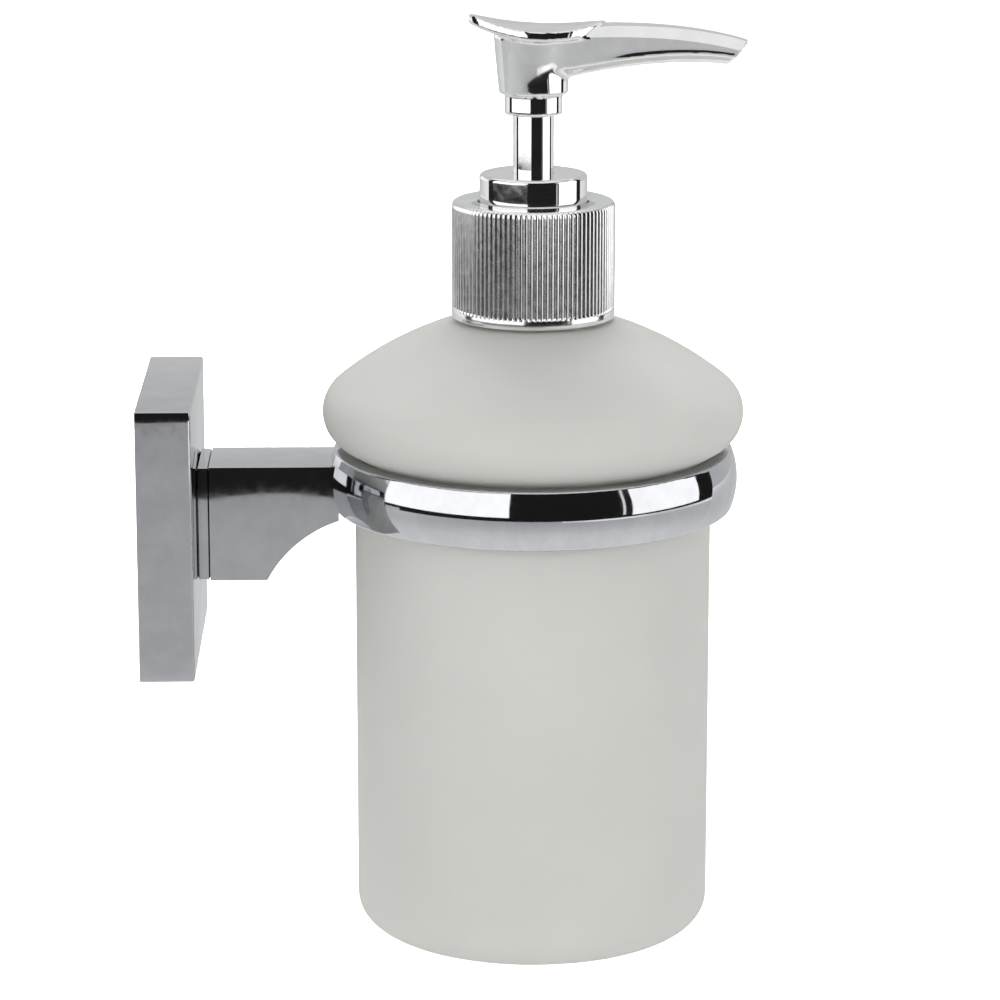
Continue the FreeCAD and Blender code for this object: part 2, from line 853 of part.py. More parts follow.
def return_spring():
    """Wire wound between the housing's floor and the plunger."""
    low = d.housing_floor + d.spring_wire + d.spring_gap
    high = d.rod_level - d.spring_wire - d.spring_gap
    body = doc.addObject("PartDesign::Body", "spring_body")
    sketch = sketch_on(body, "spring_wire_section", "XZ_Plane")
    wire = sketch.addGeometry(Part.Circle(Vector(d.spring_radius.value, low.value, 0), Vector(0, 0, 1),
                                          d.spring_wire.value))
    pin(sketch, wire, 3, "X", d.spring_radius, "coil")
    pin(sketch, wire, 3, "Y", low, "level")
    index = sketch.addConstraint(Sketcher.Constraint("Radius", wire, d.spring_wire.value))
    sketch.renameConstraint(index, "wire")
    sketch.setExpression("Constraints.wire", d.spring_wire.text)
    doc.recompute()
    coil = body.newObject("PartDesign::AdditiveHelix", "spring_coil")
    coil.Profile = sketch
    coil.ReferenceAxis = (sketch, ["V_Axis"])
    coil.Mode = "height-turns-angle"
    coil.setExpression("Height", (high - low).text)
    coil.setExpression("Turns", d.spring_turns.text)
    doc.recompute()
    return on_axis(body)


# a ball on a cone that opens at 45 degrees touches it where the cone is 1 / sqrt(2) of the ball's radius wide
inlet_centre = seat_bottom - d.seat_bore + d.inlet_ball_radius * math.sqrt(2) + d.ball_rest_gap
keep(pump_housing(), "pump_housing")
keep(lock_collar(), "lock_collar")
keep(gasket(), "gasket")
keep(dip_tube(), "dip_tube")
keep(ball("inlet_ball_sphere", d.inlet_ball_radius, inlet_centre), "inlet_ball")
keep(return_spring(), "return_spring")


# ---------------------------------------------------------------------------
# Plunger: seal, rod, stem and its chrome sleeve
# ---------------------------------------------------------------------------

def piston_seal():
    """Sleeve with two thin lips that wipe the housing's bore."""
    inner = d.stem_radius + d.slide_gap
    lip = d.housing_bore - d.seal_lip_gap
    waist = d.housing_bore - d.seal_waist
    top = d.seal_bottom + d.seal_height
    return turned("seal_body", [
        (inner, d.seal_bottom),
        (lip, d.seal_bottom),
        (lip, d.seal_bottom + d.seal_lip),
        (waist, d.seal_bottom + d.seal_lip * 2),
        (waist, top - d.seal_lip * 2),
        (lip, top - d.seal_lip),
        (lip, top),
        (inner, top),
    ])


rod_top = d.rod_level + d.rod_thick
stem_bottom = rod_top + d.stem_gap


def piston_rod():
    """Pin that guides the spring, the flange that pushes it and the spigot in the stem's bore."""
    return turned("piston_rod_body", [
        (ZERO, d.rod_level - d.rod_pin_length),
        (d.rod_pin_radius, d.rod_level - d.rod_pin_length),
        (d.rod_pin_radius, d.rod_level),
        (d.rod_flange, d.rod_level),
        (d.rod_flange, rod_top),
        (d.stem_bore, rod_top),
        (d.stem_bore, rod_top + d.rod_spigot),
        (ZERO, rod_top + d.rod_spigot),
    ])


def stem():
    """Hollow stem with cross ports above the rod and a stop ring above the seal."""
    stop = d.seal_bottom + d.seal_height + d.stop_gap
    stop_radius = d.stem_radius + d.stop_depth
    body = turned("stem_body", [
        (d.stem_bore, stem_bottom),
        (d.stem_radius, stem_bottom),
        (d.stem_radius, stop),
        (stop_radius, stop),
        (stop_radius, stop + d.stop_height),
        (d.stem_radius, stop + d.stop_height),
        (d.stem_radius, d.stem_top),
        (d.stem_bore, d.stem_top),
    ])
    port = rod("stem_cross_port", d.stem_port, (d.stem_radius + PAST) * 2, -d.stem_radius - PAST, -d.reach,
               stem_bottom + d.stem_port_rise, SIDEWAYS)
    return cut("stem_cut", body, [port])


def stem_sleeve():
    return turned("sleeve_body", [
        (d.stem_radius, d.sleeve_bottom),
        (d.sleeve_radius, d.sleeve_bottom),
        (d.sleeve_radius, d.sleeve_top),
        (d.stem_radius, d.sleeve_top),
    ])


keep(piston_seal(), "piston_seal")
keep(piston_rod(), "piston_rod")
keep(stem(), "stem")
keep(stem_sleeve(), "stem_sleeve")
# the outlet ball rests on the rim of the stem's bore
outlet_rise = root(d.outlet_ball_radius * d.outlet_ball_radius - d.stem_bore * d.stem_bore)
outlet_rest = d.stem_top + outlet_rise + d.ball_rest_gap
keep(ball("outlet_ball_sphere", d.outlet_ball_radius, outlet_rest), "outlet_ball")


# ---------------------------------------------------------------------------
# Head: plastic core with the channel, inside a chrome shell with pad and spout
# ---------------------------------------------------------------------------

def core_solid(name):
    """Outer form of the core, which is also the room for it in the shell."""
    socket = rod(name + "_socket", d.core_radius, d.core_top - d.sleeve_top, ZERO, -d.reach, d.sleeve_top)
    tube = rod(name + "_tube", d.spout_tube, d.spout_reach, ZERO, -d.reach, d.spout_level, OUTWARD)
    return fused(name, [socket, tube])


def actuator_core():
    """Socket for the stem, the outlet ball's chamber and the tube out to the spout's tip."""
    stem_socket = rod("core_stem_socket", d.stem_radius, d.stem_top - d.sleeve_top + PAST, ZERO, -d.reach,
                      d.sleeve_top - PAST)
    ball_room = rod("core_chamber", d.outlet_ball_radius + d.outlet_ball_room, d.outlet_chamber,
                    ZERO, -d.reach, d.stem_top)
    channel = rod("core_channel", d.spout_bore, d.spout_reach + PAST, ZERO, -d.reach, d.spout_level, OUTWARD)
    solid = core_solid("core_outside")
    end = spout_end("core_end")
    return cut("core_cut", solid, [stem_socket, ball_room, channel, end])


def spout_end(name):
    """Slanted block that trims the spout's tip; the middle of its inner face lies on the spout's bore."""
    side = 30
    depth = 20
    thing = doc.addObject("Part::Box", name)
    bind(thing, Length=side, Width=depth, Height=side)
    turn = Rotation(Vector(1, 0, 0), d.spout_slant.value)
    corner = turn.multVec(Vector(-side / 2, -depth, -side / 2))
    face = d.reach + d.spout_reach - d.spout_tip_back
    return put(thing, size(corner.x), -face + corner.y, d.spout_level + corner.z, turn)


SPOUT_STATIONS = (
    # distance from the axis, half width, underside, top
    (0.0, 5.4, 80.8, 90.4),
    (10.0, 4.9, 82.2, 91.2),
    (20.0, 4.4, 83.8, 91.1),
    (30.0, 4.0, 84.1, 90.1),
    (41.0, 3.6, 82.9, 87.6),
)


def spout():
    """Arched spout, lofted through eight-sided sections that get slimmer towards the tip."""
    body = doc.addObject("PartDesign::Body", "spout_body")
    sections = []
    for index, (distance, half, low, high) in enumerate(SPOUT_STATIONS):
        sketch = sketch_on(body, "spout_section_%d" % index, "XZ_Plane", d.reach + distance)
        side = size(half)
        inner = side - d.spout_bevel
        under = size(low) + d.spout_bevel
        over = size(high) - d.spout_bevel
        outline(sketch, [
            (-inner, low),
            (inner, low),
            (side, under),
            (side, over),
            (inner, high),
            (-inner, high),
            (-side, over),
            (-side, under),
        ])
        sections.append(sketch)
    doc.recompute()
    loft = body.newObject("PartDesign::AdditiveLoft", "spout_loft")
    loft.Profile = sections[0]
    loft.Sections = sections[1:]
    doc.recompute()
    return body


def thumb_pad():
    """Leaf-shaped pad, pointed at both ends and dished from front to back, with its tail the higher end."""
    length = d.pad_back + d.pad_front
    half = d.pad_half_width
    reach_down = size(6)
    side_radius = (length * length / 4 + half * half) / (half * 2)
    middle_y = -d.reach + (d.pad_back - d.pad_front) / 2
    sides = []
    for sign, name in ((-1, "left"), (1, "right")):
        x = (side_radius - half) * sign
        side_foot = d.pad_level - reach_down
        sides.append(rod("pad_side_" + name, side_radius, reach_down * 2, x, middle_y, side_foot))
    width = half * 4
    centre_y = middle_y - d.pad_dish_shift
    centre_z = d.pad_level + d.pad_curve
    outer = rod("pad_under", d.pad_curve + d.pad_thick, width, -width / 2, centre_y, centre_z, SIDEWAYS)
    inner = rod("pad_dish", d.pad_curve, width + PAST * 2, -width / 2 - PAST, centre_y, centre_z, SIDEWAYS)
    leaf = common("pad_leaf", sides)
    band = cut("pad_band", outer, [inner])
    return common("pad_solid", [leaf, band])


def actuator_shell():
    """Chrome head: boss, flared barrel, spout and thumb pad in one skin, hollow for the core."""
    barrel = turned("barrel_body", [
        (ZERO, d.head_bottom),
        (d.head_boss, d.head_bottom),
        (d.head_boss, d.barrel_bottom),
        (d.barrel_foot, d.barrel_bottom),
        (d.barrel_mouth, d.barrel_top),
        (ZERO, d.barrel_top),
    ])
    solid = fused("head_solid", [barrel, spout(), thumb_pad()])
    room = core_solid("head_room")
    sleeve_depth = d.sleeve_top - d.head_bottom + PAST
    sleeve_bore = rod("head_sleeve_bore", d.sleeve_radius, sleeve_depth, ZERO, -d.reach, d.head_bottom - PAST)
    return cut("head_cut", solid, [room, sleeve_bore, spout_end("head_end")])


keep(actuator_core(), "actuator_core")
keep(actuator_shell(), "actuator_shell")


# ---------------------------------------------------------------------------
# Check everything, then write one file for each piece
# ---------------------------------------------------------------------------

doc.recompute()
broken = [thing.Label for thing in doc.Objects if "Invalid" in thing.State or "Error" in thing.State]
if broken:
    raise RuntimeError("failed objects: " + ", ".join(broken))

os.makedirs("parts", exist_ok=True)
for thing in parts:
    shape = thing.Shape
    if shape.isNull() or not shape.isValid():
        raise RuntimeError("bad shape: " + thing.Label)
    bounds = shape.BoundBox
    print("%-16s solids %d volume %10.2f  x %7.2f %7.2f  y %8.2f %8.2f  z %7.2f %7.2f" % (
        thing.Label, len(shape.Solids), shape.Volume, bounds.XMin, bounds.XMax,
        bounds.YMin, bounds.YMax, bounds.ZMin, bounds.ZMax))
    shape.exportStep("parts/%s.step" % thing.Label)
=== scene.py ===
import itertools
import math

import bmesh
import bpy
import numpy as np
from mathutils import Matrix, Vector

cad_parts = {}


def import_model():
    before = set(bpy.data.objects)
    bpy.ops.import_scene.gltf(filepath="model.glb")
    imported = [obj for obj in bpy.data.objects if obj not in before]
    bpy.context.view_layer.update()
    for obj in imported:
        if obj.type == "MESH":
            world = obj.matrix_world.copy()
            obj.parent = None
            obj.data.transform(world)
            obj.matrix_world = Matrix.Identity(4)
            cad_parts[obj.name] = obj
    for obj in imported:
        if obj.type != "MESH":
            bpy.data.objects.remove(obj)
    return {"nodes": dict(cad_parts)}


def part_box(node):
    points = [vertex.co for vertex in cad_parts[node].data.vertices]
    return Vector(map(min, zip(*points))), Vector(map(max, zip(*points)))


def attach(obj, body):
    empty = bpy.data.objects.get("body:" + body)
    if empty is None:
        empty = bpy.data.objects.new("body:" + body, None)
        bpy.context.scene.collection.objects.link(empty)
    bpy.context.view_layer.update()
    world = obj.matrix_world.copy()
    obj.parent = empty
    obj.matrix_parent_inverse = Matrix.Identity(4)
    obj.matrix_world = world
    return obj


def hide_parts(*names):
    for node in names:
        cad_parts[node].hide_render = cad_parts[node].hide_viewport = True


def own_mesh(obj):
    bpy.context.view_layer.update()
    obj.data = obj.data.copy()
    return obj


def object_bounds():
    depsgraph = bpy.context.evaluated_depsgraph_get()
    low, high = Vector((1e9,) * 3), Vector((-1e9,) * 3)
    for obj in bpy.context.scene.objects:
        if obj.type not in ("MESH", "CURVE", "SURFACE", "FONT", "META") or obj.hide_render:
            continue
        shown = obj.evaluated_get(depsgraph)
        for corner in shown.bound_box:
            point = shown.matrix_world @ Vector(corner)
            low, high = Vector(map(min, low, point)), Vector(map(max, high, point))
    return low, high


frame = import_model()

# Wall mounted soap dispenser. The wall is the plane y = 0, and +Z is up. Lengths are metres, except in the
# pump head's formulas, which say so.

MM = 0.001
PAST = 1 * MM  # how far a cutting tool reaches past the face it cuts
cad_low, cad_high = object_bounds()
nodes = frame["nodes"]


# ---------------------------------------------------------------------------
# Places, read from the frame
# ---------------------------------------------------------------------------

def middle(node):
    low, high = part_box(node)
    return (low + high) / 2


stem_middle = middle("stem")
AXIS_X = stem_middle.x
AXIS_Y = stem_middle.y


def about_axis(radius, angle, z):
    """A point at this distance from the bottle's axis."""
    return AXIS_X + radius * math.cos(angle), AXIS_Y + radius * math.sin(angle), z


# ---------------------------------------------------------------------------
# Materials
# ---------------------------------------------------------------------------

class Finish:
    """A material with one Principled shader, and short calls for the nodes that feed it."""

    def __init__(self, name):
        self.material = bpy.data.materials.new(name)
        self.material.use_nodes = True
        self.tree = self.material.node_tree
        self.shader = self.tree.nodes["Principled BSDF"]
        self.place = self.add("ShaderNodeTexCoord").outputs["Object"]

    def add(self, kind):
        return self.tree.nodes.new(kind)

    def link(self, source, target):
        self.tree.links.new(source, target)

    def constants(self, **values):
        """Values that are the same all over the surface, on the shader's own sockets."""
        for name, value in values.items():
            self.shader.inputs[name.replace("_", " ")].default_value = value

    def stretched(self, x, y, z):
        """The place with each axis scaled, so that a pattern is drawn out along the others."""
        mapping = self.add("ShaderNodeMapping")
        self.link(self.place, mapping.inputs["Vector"])
        mapping.inputs["Scale"].default_value = (x, y, z)
        return mapping.outputs["Vector"]

    def noise(self, size, detail=3.0, roughness=0.5, place=None):
        """Noise whose blotches are about this size in metres."""
        node = self.add("ShaderNodeTexNoise")
        self.link(place or self.place, node.inputs["Vector"])
        node.inputs["Scale"].default_value = 1 / size
        node.inputs["Detail"].default_value = detail
        node.inputs["Roughness"].default_value = roughness
        return node.outputs["Fac"]

    def spread(self, source, low, high, start=0.3, end=0.7):
        """The part of source between start and end, stretched to go from low to high."""
        node = self.add("ShaderNodeMapRange")
        self.link(source, node.inputs["Value"])
        node.inputs["From Min"].default_value = start
        node.inputs["From Max"].default_value = end
        node.inputs["To Min"].default_value = low
        node.inputs["To Max"].default_value = high
        return node.outputs["Result"]

    def colours(self, source, *stops):
        """A colour ramp of (position, red, green, blue) stops."""
        node = self.add("ShaderNodeValToRGB")
        self.link(source, node.inputs["Fac"])
        ramp = node.color_ramp
        while len(ramp.elements) < len(stops):
            ramp.elements.new(0.5)
        for element, (position, *colour) in zip(ramp.elements, stops):
            element.position = position
            element.color = (*colour, 1)
        return node.outputs["Color"]

    def base(self, colour):
        self.link(colour, self.shader.inputs["Base Color"])

    def rough(self, source):
        self.link(source, self.shader.inputs["Roughness"])

    def bump(self, source, height):
        """The source as relief of this height in metres."""
        node = self.add("ShaderNodeBump")
        self.link(source, node.inputs["Height"])
        node.inputs["Distance"].default_value = height
        node.inputs["Strength"].default_value = 1.0
        self.link(node.outputs["Normal"], self.shader.inputs["Normal"])


def chrome_cast():
    """Polished chrome on a zinc casting: buffed, with the faintest ripple and water marks."""
    finish = Finish("chrome_on_casting")
    finish.constants(Metallic=1.0, Specular_IOR_Level=0.5)
    marks = finish.noise(6 * MM, detail=5, roughness=0.6)
    finish.base(finish.colours(marks, (0.35, 0.56, 0.565, 0.585), (0.65, 0.62, 0.625, 0.64)))
    smears = finish.noise(2.5 * MM, detail=6, roughness=0.65)
    finish.rough(finish.spread(smears, low=0.025, high=0.07))
    ripple = finish.noise(9 * MM, detail=1)
    finish.bump(ripple, 0.006 * MM)
    return finish.material


def chrome_plastic(name="chrome_on_plastic", low=0.03, high=0.08):
    """Bright electroplated plastic."""
    finish = Finish(name)
    finish.constants(Metallic=1.0, Specular_IOR_Level=0.5)
    marks = finish.noise(4 * MM, detail=5, roughness=0.6)
    finish.base(finish.colours(marks, (0.35, 0.80, 0.80, 0.80), (0.65, 0.86, 0.86, 0.85)))
    smears = finish.noise(1.5 * MM, detail=6, roughness=0.65)
    finish.rough(finish.spread(smears, low, high))
    ripple = finish.noise(5 * MM, detail=1)
    finish.bump(ripple, 0.008 * MM)
    return finish.material


def zinc_plate():
    """Zinc plated sheet with rolling marks and a faint passivated tint."""
    finish = Finish("zinc_plated_sheet")
    finish.constants(Metallic=1.0)
    tint = finish.noise(8 * MM, detail=4)
    bluish = (0.3, 0.50, 0.53, 0.58)
    plain = (0.5, 0.60, 0.61, 0.62)
    yellowish = (0.7, 0.62, 0.60, 0.53)
    finish.base(finish.colours(tint, bluish, plain, yellowish))
    grain = finish.noise(0.3 * MM, detail=4, place=finish.stretched(1, 1, 0.05))
    finish.rough(finish.spread(grain, low=0.24, high=0.42))
    finish.bump(grain, 0.01 * MM)
    return finish.material


def steel():
    """Bright drawn steel with fine draw lines and a little oil film."""
    finish = Finish("bright_steel")
    finish.constants(Metallic=1.0)
    film = finish.noise(1.5 * MM, detail=4)
    finish.base(finish.colours(film, (0.3, 0.50, 0.49, 0.48), (0.7, 0.62, 0.61, 0.60)))
    lines = finish.noise(0.15 * MM, detail=3, place=finish.stretched(1, 1, 0.15))
    finish.rough(finish.spread(lines, low=0.12, high=0.28))
    finish.bump(lines, 0.004 * MM)
    return finish.material


def frosted_glass():
    """Thick grey-green glass, etched on the outside to a fine even frost."""
    finish = Finish("frosted_glass")
    finish.constants(Transmission_Weight=0.35, IOR=1.45, Specular_IOR_Level=0.3)
    cloud = finish.noise(22 * MM, detail=2)
    finish.base(finish.colours(cloud, (0.3, 0.62, 0.623, 0.59), (0.7, 0.645, 0.648, 0.615)))
    frost = finish.noise(0.35 * MM, detail=4, roughness=0.7)
    finish.rough(finish.spread(frost, low=0.50, high=0.66))
    finish.bump(frost, 0.012 * MM)
    return finish.material


FINE_GRAIN = 0.006 * MM


def moulded(name, dark, light, low, high, grain):
    """Moulded plastic: a drift from dark to light, a roughness from low to high, and a fine grain."""
    finish = Finish(name)
    finish.constants(Specular_IOR_Level=0.45)
    drift = finish.noise(5 * MM, detail=3)
    finish.base(finish.colours(drift, (0.3, *dark), (0.7, *light)))
    skin = finish.noise(0.5 * MM, detail=4)
    finish.rough(finish.spread(skin, low, high))
    finish.bump(skin, grain)
    return finish


def white_plastic():
    finish = moulded("white_moulded_plastic", (0.78, 0.78, 0.75), (0.86, 0.86, 0.84), 0.32, 0.46, FINE_GRAIN)
    finish.constants(Subsurface_Weight=0.15, Subsurface_Scale=1.5 * MM)
    return finish.material


def seal_plastic():
    finish = moulded("natural_polyethylene", (0.66, 0.70, 0.70), (0.76, 0.79, 0.78), 0.38, 0.52, FINE_GRAIN)
    finish.constants(Subsurface_Weight=0.3, Subsurface_Scale=2 * MM)
    return finish.material


def seal_rubber():
    foam_grain = 0.02 * MM
    finish = moulded("pale_foamed_seal", (0.74, 0.74, 0.71), (0.84, 0.84, 0.82), 0.6, 0.8, foam_grain)
    return finish.material


def clear_plastic():
    """Milky clear tube."""
    finish = moulded("clear_tube_plastic", (0.86, 0.88, 0.88), (0.93, 0.94, 0.94), 0.16, 0.28, FINE_GRAIN)
    finish.constants(Transmission_Weight=0.85, IOR=1.5)
    return finish.material


FINISHES = {
    "chrome_cast": chrome_cast(),
    "chrome_plastic": chrome_plastic(),
    "zinc_plate": zinc_plate(),
    "steel": steel(),
    "frosted_glass": frosted_glass(),
    "white_plastic": white_plastic(),
    "clear_plastic": clear_plastic(),
    "seal_plastic": seal_plastic(),
    "seal_rubber": seal_rubber(),
}


def finish_nodes():
    """Each carried node keeps its slot and gets the finish of that slot."""
    for node in nodes.values():
        for slot in node.material_slots:
            slot.material = FINISHES[slot.material.name]


finish_nodes()


# ---------------------------------------------------------------------------
# Mesh tools
# ---------------------------------------------------------------------------

def mesh_object(name, points, faces, material=None):
    mesh = bpy.data.meshes.new(name)
    mesh.from_pydata([tuple(p) for p in points], [], [tuple(f) for f in faces])
    mesh.update()
    thing = bpy.data.objects.new(name, mesh)
    bpy.context.scene.collection.objects.link(thing)
    if material is not None:
        mesh.materials.append(material)
    return thing


def combined(thing, tool, operation):
    """The thing joined with the tool, or cut by it. The tool is used up."""
    modifier = thing.modifiers.new("boolean", "BOOLEAN")
    modifier.object = tool
    modifier.operation = operation
    modifier.solver = "EXACT"
    bpy.context.view_layer.update()
    result = bpy.data.meshes.new_from_object(thing.evaluated_get(bpy.context.evaluated_depsgraph_get()))
    thing.modifiers.clear()
    thing.data = result
    bpy.data.objects.remove(tool)
    return thing


def joined(thing, tool):
    return combined(thing, tool, "UNION")


def cut(thing, tool):
    return combined(thing, tool, "DIFFERENCE")


def piece(thing, body, slot, node, sharp=35, finish=None):
    """A finished piece that stands for a CAD node. Edges that turn by more than sharp degrees stay sharp."""
    thing.data.materials.clear()
    thing.data.materials.append(finish or FINISHES[slot])
    thing.data.shade_smooth()
    thing.data.set_sharp_from_angle(angle=math.radians(sharp))
    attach(thing, body)
    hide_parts(node)
    return thing


def tube_faces(rings, around, closed_ends=True):
    """Faces between rings of points, and one many-sided face on each end."""
    faces = []
    for i in range(rings - 1):
        for j in range(around):
            k = (j + 1) % around
            faces.append((i * around + j, i * around + k, (i + 1) * around + k, (i + 1) * around + j))
    if closed_ends:
        faces.append(tuple(reversed(range(around))))
        faces.append(tuple(range((rings - 1) * around, rings * around)))
    return faces


def block(name, x, y, z):
    """A plain box from (low, high) pairs, to cut with or to join on."""
    corners = [(x[i], y[j], z[k]) for k in (0, 1) for i, j in ((0, 0), (1, 0), (1, 1), (0, 1))]
    return mesh_object(name, corners, tube_faces(2, 4))


def cylinder(name, radius, start, end, around=64):
    """A round bar between two points, to cut with or to join on."""
    start, end = Vector(start), Vector(end)
    turn = (end - start).to_track_quat("Z", "Y")
    points = []
    for base in (start, end):
        for j in range(around):
            angle = 2 * math.pi * j / around
            points.append(base + turn @ Vector((radius * math.cos(angle), radius * math.sin(angle), 0)))
    return mesh_object(name, points, tube_faces(2, around))


def spaced(start, end, steps):
    return [start + (end - start) * i / steps for i in range(steps + 1)]


def crowded(start, end, steps):
    """Places that lie closer and closer together towards both ends."""
    return [start + (end - start) * (1 - math.cos(math.pi * i / steps)) / 2 for i in range(steps + 1)]


# ---------------------------------------------------------------------------
# Wall cover and arm: flat faces that the buffing wheel has drawn down at the edges
# ---------------------------------------------------------------------------

CAST_EDGE = 0.12 * MM     # radius on the edges of the castings
SIDE_CURVE = 232 * MM     # radius of the drawn-down part of the arm's and the boss's sides
TENON_LEVEL = 0.3 * MM    # height of the middle of the arm's tenon, its seat and its screw


def drawn_down(height, start, radius):
    """How far a face has dropped at this height, when it starts to curve away at start."""
    return max(height - start, 0) ** 2 / (2 * radius)


def edge_arc(radius, steps=5):
    """(inward, downward) offsets round a small edge radius, from the side face up to the top face."""
    return [(radius * (1 - math.cos(a)), radius * (1 - math.sin(a))) for a in spaced(0, math.pi / 2, steps)]


def buffed_section(half_width, low, high, start_low, start_high, radius):
    """Outline across a bar with small edge radii. Its sides are drawn down past start_low and start_high."""
    side = []
    levels = crowded(low + CAST_EDGE, high - CAST_EDGE, 48)
    for inward, down in reversed(edge_arc(CAST_EDGE)):
        x = half_width - drawn_down(-(low + CAST_EDGE), -start_low, radius) - inward
        side.append((x, low + down))
    for level in levels[1:-1]:
        x = half_width - drawn_down(level, start_high, radius) - drawn_down(-level, -start_low, radius)
        side.append((x, level))
    for inward, down in edge_arc(CAST_EDGE):
        x = half_width - drawn_down(high - CAST_EDGE, start_high, radius) - inward
        side.append((x, high - down))
    return side + [(-x, z) for x, z in reversed(side)]


def swept(name, stations):
    """A closed skin through sections of (x, z) points, each at its own y."""
    points = []
    for y, section in stations:
        points += [(x, y, z) for x, z in section]
    return mesh_object(name, points, tube_faces(len(stations), len(stations[0][1])))


def rounded_run(start, end, radius):
    """Places along a bar and how far its section shrinks there: rounded at the start, sharp at the end."""
    places = [(start + down, inward) for inward, down in reversed(edge_arc(radius))]
    return places + [(end, 0)]


def cover_plate(half, top, front, back):
    """The square plate, rounded at its front edges, with the sides drawn down near the top and the bottom."""
    front_edge = 0.5 * MM
    drawn_part = 1.5 * MM
    drawn_radius = 28 * MM
    stations = []
    for y, inward in rounded_run(front, back, front_edge):
        level = top - inward
        start = level - drawn_part
        stations.append((y, buffed_section(half - inward, -level, level, -start, start, drawn_radius)))
    return swept("cover", stations)


def cover_boss(start, front, back):
    """The short boss between the plate's front and the arm, with a narrow groove at each of its ends."""
    half = 8.35 * MM
    top = 10.85 * MM
    bottom = -10.25 * MM
    drawn_start = 0.5 * MM
    groove_wide = 0.3 * MM
    groove_deep = 0.5 * MM
    run = (
        (start, groove_deep),
        (start + groove_wide, 0),
        (front - groove_wide, 0),
        (front, groove_deep),
        (back, groove_deep),
    )
    stations = []
    for y, inward in run:
        low = bottom + inward
        high = top - inward
        stations.append((y, buffed_section(half - inward, low, high, bottom, drawn_start, SIDE_CURVE)))
    return swept("cover_boss", stations)


def wall_cover():
    """Hollow square cover with its boss, a seat for the arm's tenon, and a lug drilled for the grub screw."""
    low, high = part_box("wall_cover")
    half = high.x
    front = -10 * MM
    wall = 2 * MM
    inner = half - wall
    cover = joined(cover_plate(half, high.z, front, high.y), cover_boss(low.y, front, front + wall / 2))
    cover = cut(cover, block("cavity", (-inner, inner), (front + wall, PAST), (-inner, inner)))
    lug_half = 4 * MM
    lug_tall = (-inner - wall / 2, -inner + 2.6 * MM)
    cover = joined(cover, block("lug", (-lug_half, lug_half), (front + wall / 2, high.y), lug_tall))
    seat_half = 6 * MM
    seat_tall = (TENON_LEVEL - seat_half, TENON_LEVEL + seat_half)
    cover = cut(cover, block("seat", (-seat_half, seat_half), (low.y - PAST, front), seat_tall))
    screw_hole = 2.7 * MM
    hole_start = (0, front - wall, TENON_LEVEL)
    cover = cut(cover, cylinder("screw_hole", screw_hole, hole_start, (0, 0, TENON_LEVEL)))
    grub_hole = 2 * MM
    grub_y = -2.5 * MM
    grub_reach = 8 * MM
    grub_start = (0, grub_y, -half - PAST)
    cover = cut(cover, cylinder("grub_hole", grub_hole, grub_start, (0, grub_y, -half + grub_reach)))
    return piece(cover, "bracket", "chrome_cast", "wall_cover", sharp=20)


def arc_centre(start, end, radius):
    """Centre of the arc between two points (y, z) that lies above its centre."""
    chord = Vector((end[0] - start[0], end[1] - start[1]))
    rise = math.sqrt(radius ** 2 - (chord.length / 2) ** 2)
    side = Vector((chord.y, -chord.x)).normalized()
    return Vector(start) + chord / 2 - side * rise


def arm():
    """Flat-topped bar whose underside curves up to the ring.

    Its sides are drawn down towards the top, from a little lower at both ends than in the middle.
    """
    low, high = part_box("arm")
    bottom = low.z
    top = high.z
    half = 8.5 * MM
    wall_end = -12.3 * MM
    tip = AXIS_Y + 34.5 * MM
    curve_start = wall_end - 10.5 * MM
    curve_end = AXIS_Y + 35.8 * MM
    curve_end_level = 0.8 * MM
    curve_radius = 22.9 * MM
    centre = arc_centre((curve_start, bottom), (curve_end, curve_end_level), curve_radius)
    drawn_at_ends = 0.5 * MM
    higher_in_middle = 1.4 * MM
    stations = []
    for y in spaced(wall_end, tip, 60):
        under = bottom
        if y < curve_start:
            reach = min(abs(y - centre.x), curve_radius)
            under = centre.y + math.sqrt(curve_radius ** 2 - reach ** 2)
        share = (y - wall_end) / (curve_end - wall_end)
        start = drawn_at_ends + higher_in_middle * (1 - (2 * share - 1) ** 2)
        stations.append((y, buffed_section(half, under, top, under, start, SIDE_CURVE)))
    bar = swept("bracket_arm", stations)
    ring_room = 36.9 * MM
    room_low = (AXIS_X, AXIS_Y, bottom - PAST)
    room_high = (AXIS_X, AXIS_Y, top + PAST)
    bar = cut(bar, cylinder("ring_room", ring_room, room_low, room_high, around=256))
    tenon_half = 5.95 * MM
    tenon_end = -10.1 * MM
    tenon_tall = (TENON_LEVEL - tenon_half, TENON_LEVEL + tenon_half)
    bar = joined(bar, block("tenon", (-tenon_half, tenon_half), (wall_end - PAST, tenon_end), tenon_tall))
    screw_hole = 2.5 * MM
    hole_start = (0, -7 * MM, TENON_LEVEL)
    hole_end = (0, -26.4 * MM, TENON_LEVEL)
    bar = cut(bar, cylinder("arm_hole", screw_hole, hole_start, hole_end))
    return piece(bar, "bracket", "chrome_cast", "arm", sharp=20)


# ---------------------------------------------------------------------------
# Closure shell with rounded ribs
# ---------------------------------------------------------------------------

